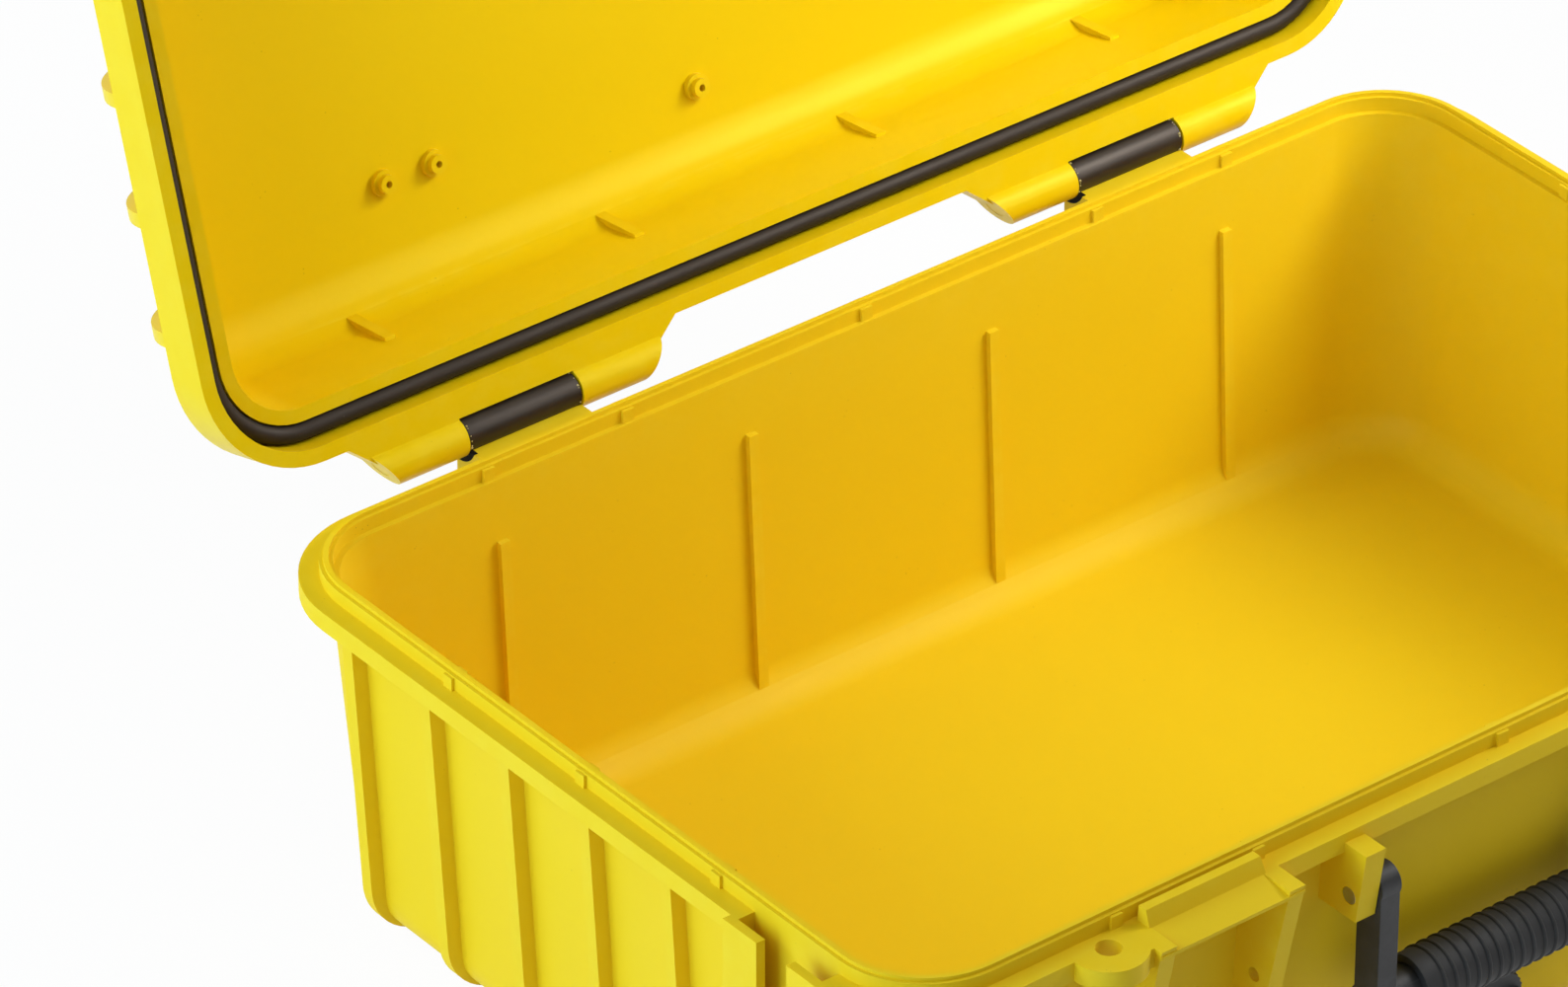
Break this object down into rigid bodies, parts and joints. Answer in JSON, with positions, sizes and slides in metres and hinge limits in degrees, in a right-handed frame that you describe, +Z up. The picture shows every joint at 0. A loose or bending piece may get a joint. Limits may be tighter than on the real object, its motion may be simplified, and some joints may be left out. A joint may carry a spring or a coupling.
{
  "type": "protective hard case",
  "caption": "Rigid moulded hard case with a hinged lid, rubber seal, front latches, folding handle and purge valve, shown open.",
  "frame": {"origin": "middle of the base's bottom face, on the floor", "axes": "+X along the case, -Y towards the latches, +Z up"},
  "size_m": [0.4948, 0.5354, 0.5137],
  "materials": {
    "yellow_shell": "satin moulded polypropylene",
    "gasket_rubber": "smooth extruded cord",
    "black_bush": "satin nylon",
    "steel_pin": "drawn stainless rod",
    "black_latch": "satin moulded",
    "black_handle": "satin moulded",
    "grip_rubber": "soft overmould"
  },
  "bodies": {
    "base": {"base_shell": "yellow_shell", "hinge_bush_left": "black_bush", "hinge_bush_right": "black_bush", "hinge_pin_left": "steel_pin", "hinge_pin_right": "steel_pin", "handle_pin_left": "steel_pin", "handle_pin_right": "steel_pin", "valve_body": "black_handle", "valve_washer": "gasket_rubber", "valve_nut": "black_handle"},
    "lid": {"lid_shell": "yellow_shell", "lid_gasket": "gasket_rubber", "latch_pin_left": "steel_pin", "latch_pin_right": "steel_pin"},
    "latch_left": {"latch_left": "black_latch"},
    "latch_right": {"latch_right": "black_latch"},
    "handle": {"handle_bail": "black_handle", "handle_grip": "grip_rubber"},
    "valve_knob": {"valve_knob": "black_handle", "valve_seal": "gasket_rubber"}
  },
  "joints": [
    {"name": "lid_hinge", "type": "hinge", "parent": "base", "child": "lid", "pos_m": [0, 0.178, 0.134], "axis": [-1, 0, 0], "range_deg": [-106, 0]},
    {"name": "latch_left_hinge", "type": "hinge", "parent": "lid", "child": "latch_left", "pos_m": [-0.126, 0.28569, 0.47763], "axis": [-1, 0, 0], "range_deg": [-150, 0]},
    {"name": "latch_right_hinge", "type": "hinge", "parent": "lid", "child": "latch_right", "pos_m": [0.126, 0.28569, 0.47763], "axis": [-1, 0, 0], "range_deg": [-150, 0]},
    {"name": "handle_swing", "type": "hinge", "parent": "base", "child": "handle", "pos_m": [0, -0.1692, 0.1088], "axis": [-1, 0, 0], "range_deg": [0, 95]},
    {"name": "valve_turn", "type": "hinge", "parent": "base", "child": "valve_knob", "pos_m": [0, -0.157, 0.034], "axis": [0, -1, 0], "range_deg": [0, 180]}
  ]
}
